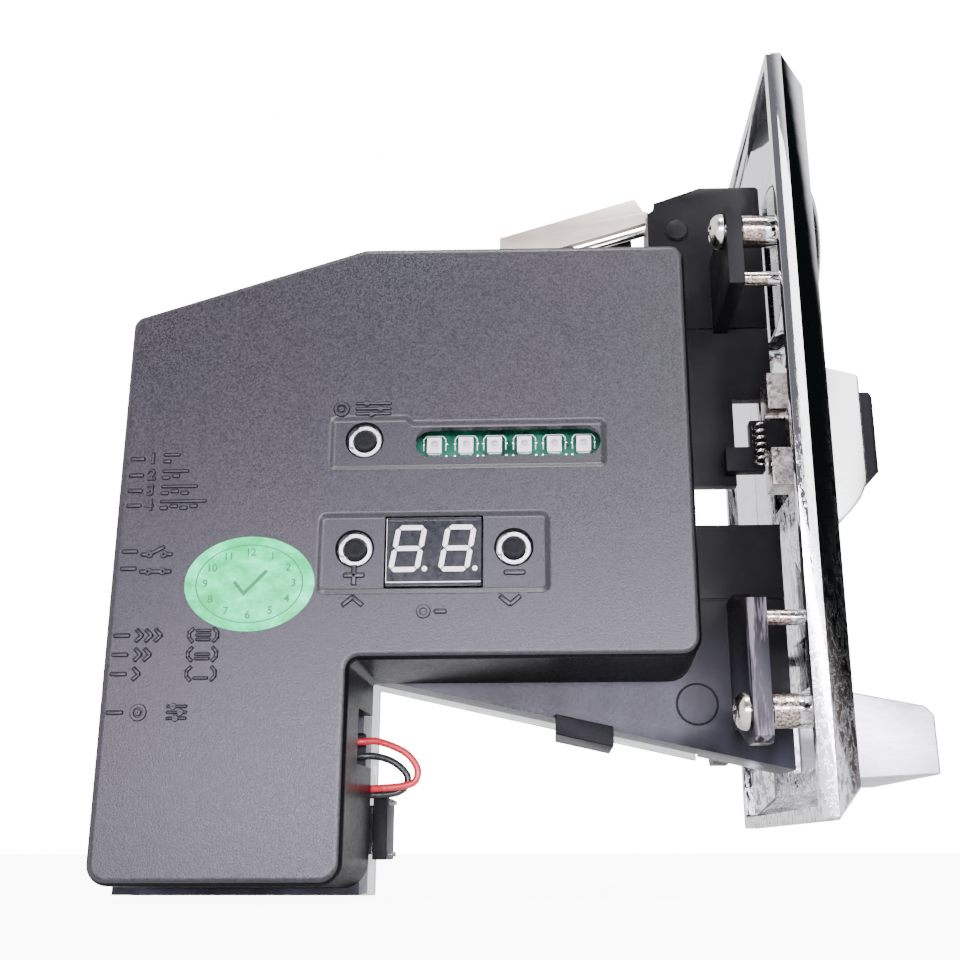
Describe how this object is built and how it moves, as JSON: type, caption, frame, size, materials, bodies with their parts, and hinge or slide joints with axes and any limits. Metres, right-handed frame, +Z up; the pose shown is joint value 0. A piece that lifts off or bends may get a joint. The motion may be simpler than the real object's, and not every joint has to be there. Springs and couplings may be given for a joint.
{
  "type": "coin acceptor",
  "caption": "Multi-coin acceptor and counter: chrome front panel with coin entry, reject button and return cup, black coin mechanism and an electronics cover with a two-digit display.",
  "frame": {"origin": "middle of the bottom edge of the front panel's rear rim, which seats on the machine's door", "axes": "+X out of the front panel towards the customer, +Y away from the electronics cover, +Z up"},
  "size_m": [0.1323, 0.064, 0.1384],
  "materials": {
    "chrome": "bright chrome plating on moulded plastic, mirror smooth with light pitting near the edges",
    "nickel": "bright nickel plated steel, warm grey",
    "body_black": "black moulded plastic, satin",
    "cover_black": "dark grey-black moulded plastic with a fine spark texture",
    "button_black": "black moulded plastic, semi-gloss",
    "clear_plastic": "clear moulded plastic plate, slightly frosted",
    "board_green": "green solder mask over copper",
    "led_white": "white surface-mount light body with a pale pink lens",
    "display_grey": "dark grey display face with pale segments",
    "switch_metal": "tinned steel switch can",
    "connector_nylon": "natural nylon",
    "coil_brown": "enamelled copper winding under varnish",
    "coil_tape": "yellow polyester tape",
    "zinc_steel": "zinc plated steel",
    "ir_lens": "dark infrared lens",
    "red_pvc": "red PVC insulation",
    "black_pvc": "black PVC insulation"
  },
  "bodies": {
    "root": {"add_switch": "switch_metal", "arm_spring": "nickel", "black_wire": "black_pvc", "button_guide": "chrome", "button_spring": "nickel", "chute_clip": "body_black", "clear_side_cover": "clear_plastic", "coin_entry_bezel": "chrome", "contact_switch": "switch_metal", "display_module": "display_grey", "door_hinge_pin": "nickel", "door_spring": "nickel", "ear_screw_1": "nickel", "ear_screw_2": "nickel", "ear_screw_3": "nickel", "ear_screw_4": "nickel", "electronics_cover": "cover_black", "front_panel": "chrome", "led_1": "led_white", "led_2": "led_white", "led_3": "led_white", "led_4": "led_white", "led_5": "led_white", "led_6": "led_white", "leg_clip": "body_black", "light_emitter": "ir_lens", "light_receiver": "ir_lens", "main_body": "body_black", "main_pcb": "board_green", "minus_switch": "switch_metal", "near_sensor_coil": "coil_brown", "rear_set_switch": "switch_metal", "red_wire": "red_pvc", "reject_button_bezel": "chrome", "return_cup": "chrome", "set_switch": "switch_metal", "solenoid_coil": "coil_tape", "solenoid_frame": "zinc_steel", "solenoid_spring": "nickel", "speed_switch": "switch_metal", "wire_connector": "connector_nylon"},
    "reject_button": {"reject_button": "button_black"},
    "coin_door": {"coin_door": "body_black", "reject_lever": "nickel", "far_sensor_coil": "coil_brown"},
    "set_key": {"set_plunger": "button_black"},
    "add_key": {"add_plunger": "button_black"},
    "minus_key": {"minus_plunger": "button_black"},
    "rear_set_key": {"rear_set_plunger": "button_black"},
    "contact_slider": {"contact_knob": "button_black"},
    "speed_slider": {"speed_knob": "button_black"},
    "accept_gate": {"accept_gate": "body_black", "solenoid_plunger": "zinc_steel"}
  },
  "joints": [
    {"name": "reject_button_press", "type": "slide", "parent": "root", "child": "reject_button", "axis": [-1, 0, 0], "range_m": [0, 0.0035], "stiffness_N_per_m": 600, "springref_m": -0.001, "deforming": ["button_spring"]},
    {"name": "coin_door_open", "type": "hinge", "parent": "root", "child": "coin_door", "pos_m": [-0.0176, 0.0046, 0.1138], "axis": [0.9578, 0, 0.2873], "range_deg": [0, 14], "stiffness_Nm_per_rad": 0.05, "springref_deg": -11.46},
    {"name": "set_press", "type": "slide", "parent": "root", "child": "set_key", "axis": [0, 1, 0], "range_m": [0, 0.0005], "stiffness_N_per_m": 2000, "springref_m": -0.0002},
    {"name": "add_press", "type": "slide", "parent": "root", "child": "add_key", "axis": [0, 1, 0], "range_m": [0, 0.0005], "stiffness_N_per_m": 2000, "springref_m": -0.0002},
    {"name": "minus_press", "type": "slide", "parent": "root", "child": "minus_key", "axis": [0, 1, 0], "range_m": [0, 0.0005], "stiffness_N_per_m": 2000, "springref_m": -0.0002},
    {"name": "rear_set_press", "type": "slide", "parent": "root", "child": "rear_set_key", "axis": [1, 0, 0], "range_m": [0, 0.0005], "stiffness_N_per_m": 2000, "springref_m": -0.0002},
    {"name": "contact_slide", "type": "slide", "parent": "root", "child": "contact_slider", "axis": [0, 0, -1], "range_m": [0, 0.002]},
    {"name": "speed_slide", "type": "slide", "parent": "root", "child": "speed_slider", "axis": [0, 0, 1], "range_m": [-0.002, 0.002]},
    {"name": "accept_gate_draw", "type": "slide", "parent": "root", "child": "accept_gate", "axis": [0, 1, 0], "range_m": [0, 0.0045], "stiffness_N_per_m": 150, "springref_m": -0.001, "deforming": ["solenoid_spring"]}
  ],
  "couplings": [
    {"joint": "coin_door_open", "follows": "reject_button_press", "rad_per_m": 68}
  ]
}
